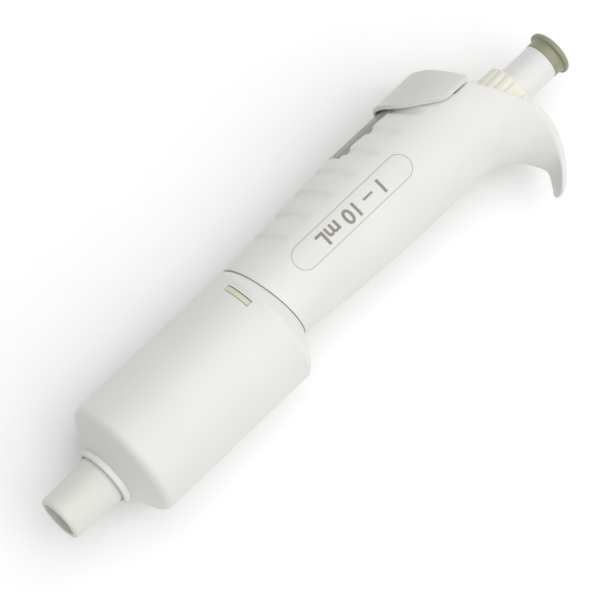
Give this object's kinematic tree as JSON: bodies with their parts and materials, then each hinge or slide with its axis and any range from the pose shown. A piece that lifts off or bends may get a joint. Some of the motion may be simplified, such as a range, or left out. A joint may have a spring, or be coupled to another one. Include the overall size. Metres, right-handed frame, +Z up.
{
  "type": "adjustable micropipette",
  "caption": "Large-volume air-displacement pipette: barrel-shaped tip ejector, ribbed grip with finger hook, display window, adjusting ring and push button.",
  "frame": {"origin": "centre of the nozzle's open end", "axes": "+X along the pipette's axis from nozzle to push button, +Y towards the display window, +Z up as the pipette lies on its side"},
  "size_m": [0.232, 0.0641, 0.044],
  "materials": {
    "sleeve_white": "satin moulded, fine grain",
    "nozzle_grey": "satin moulded PVDF",
    "grip_white": "satin moulded, off-white",
    "button_grey": "satin moulded, light warm grey",
    "ring_ivory": "moulded, fluted",
    "rod_white": "smooth extruded",
    "cap_olive": "moulded, olive grey",
    "latch_cream": "moulded, cream",
    "window_smoke": "smoked clear plastic",
    "label_white": "inlaid label",
    "inner_plastic": "glass-filled inner parts",
    "drum_white": "digit drum",
    "steel": "turned stainless steel",
    "brass_gear": "cut brass",
    "seal_rubber": "nitrile seal",
    "seal_ptfe": "PTFE lip seal",
    "filter_felt": "sintered filter plug"
  },
  "bodies": {
    "grip": {"nozzle_cone": "nozzle_grey", "nozzle_filter": "filter_felt", "cylinder_seal": "seal_rubber", "piston_cylinder": "inner_plastic", "cylinder_cap": "inner_plastic", "rod_seal": "seal_rubber", "coupling_nut": "steel", "handle_shell_right": "grip_white", "handle_shell_left": "grip_white", "display_window": "window_smoke", "label_inlay": "label_white", "chassis": "inner_plastic", "bearing_plate": "steel", "bearing_plate_screws": "steel", "brake_ring": "seal_rubber", "transfer_pin": "steel", "piston_spring": "steel", "blowout_spring": "steel", "ejector_spring": "steel"},
    "tip_ejector": {"ejector_sleeve": "sleeve_white", "latch_yoke": "latch_cream", "ejector_rod": "steel", "rod_collar": "steel", "ejector_button": "button_grey"},
    "setting_ring": {"adjusting_ring": "ring_ivory", "spindle": "steel", "spindle_clip": "steel", "spindle_gear": "brass_gear"},
    "stop_nut": {"stop_nut": "inner_plastic"},
    "plunger": {"piston": "inner_plastic", "piston_seal": "seal_ptfe", "seal_retainer": "steel", "operating_rod": "steel", "striker_cup": "inner_plastic", "stop_collar": "steel", "push_rod": "rod_white", "push_button": "cap_olive"},
    "counter": {"counter_shaft": "steel", "counter_gear": "brass_gear", "digit_drum_tenths": "drum_white"},
    "units_drum": {"digit_drum_units": "drum_white"},
    "tens_drum": {"digit_drum_tens": "drum_white"},
    "lower_pinion": {"transfer_pinion_lower": "inner_plastic"},
    "upper_pinion": {"transfer_pinion_upper": "inner_plastic"}
  },
  "joints": [
    {"name": "volume_adjust", "type": "hinge", "parent": "grip", "child": "setting_ring", "pos_m": [0.15, 0, 0], "axis": [1, 0, 0], "range_deg": [-900, 720]},
    {"name": "setting_slide", "type": "slide", "parent": "grip", "child": "stop_nut", "axis": [1, 0, 0], "range_m": [-0.00502, 0.00402]},
    {"name": "counter_spin", "type": "hinge", "parent": "grip", "child": "counter", "pos_m": [0.15, 0.0135, 0], "axis": [1, 0, 0], "range_deg": [-1442, 1802]},
    {"name": "units_spin", "type": "hinge", "parent": "grip", "child": "units_drum", "pos_m": [0.15, 0.0135, 0], "axis": [1, 0, 0], "range_deg": [-146, 182]},
    {"name": "tens_spin", "type": "hinge", "parent": "grip", "child": "tens_drum", "pos_m": [0.15, 0.0135, 0], "axis": [1, 0, 0], "range_deg": [-16, 20]},
    {"name": "lower_pinion_spin", "type": "hinge", "parent": "grip", "child": "lower_pinion", "pos_m": [0.15, 0.0085, 0.0108], "axis": [1, 0, 0], "range_deg": [-452, 362]},
    {"name": "upper_pinion_spin", "type": "hinge", "parent": "grip", "child": "upper_pinion", "pos_m": [0.15, 0.0085, 0.0108], "axis": [1, 0, 0], "range_deg": [-47, 38]},
    {"name": "plunger_press", "type": "slide", "parent": "stop_nut", "child": "plunger", "axis": [1, 0, 0], "range_m": [-0.008, 0], "stiffness_N_per_m": 300, "springref_m": 0.006, "deforming": ["piston_spring", "blowout_spring"]},
    {"name": "tip_eject", "type": "slide", "parent": "grip", "child": "tip_ejector", "axis": [1, 0, 0], "range_m": [-0.005, 0], "stiffness_N_per_m": 400, "springref_m": 0.004, "deforming": ["ejector_spring"]}
  ],
  "couplings": [
    {"joint": "setting_slide", "follows": "volume_adjust", "m_per_rad": 0.00031831},
    {"joint": "counter_spin", "follows": "volume_adjust", "ratio": -2},
    {"joint": "units_spin", "follows": "volume_adjust", "ratio": -0.2},
    {"joint": "tens_spin", "follows": "volume_adjust", "ratio": -0.02},
    {"joint": "lower_pinion_spin", "follows": "volume_adjust", "ratio": 0.5},
    {"joint": "upper_pinion_spin", "follows": "volume_adjust", "ratio": 0.05}
  ]
}
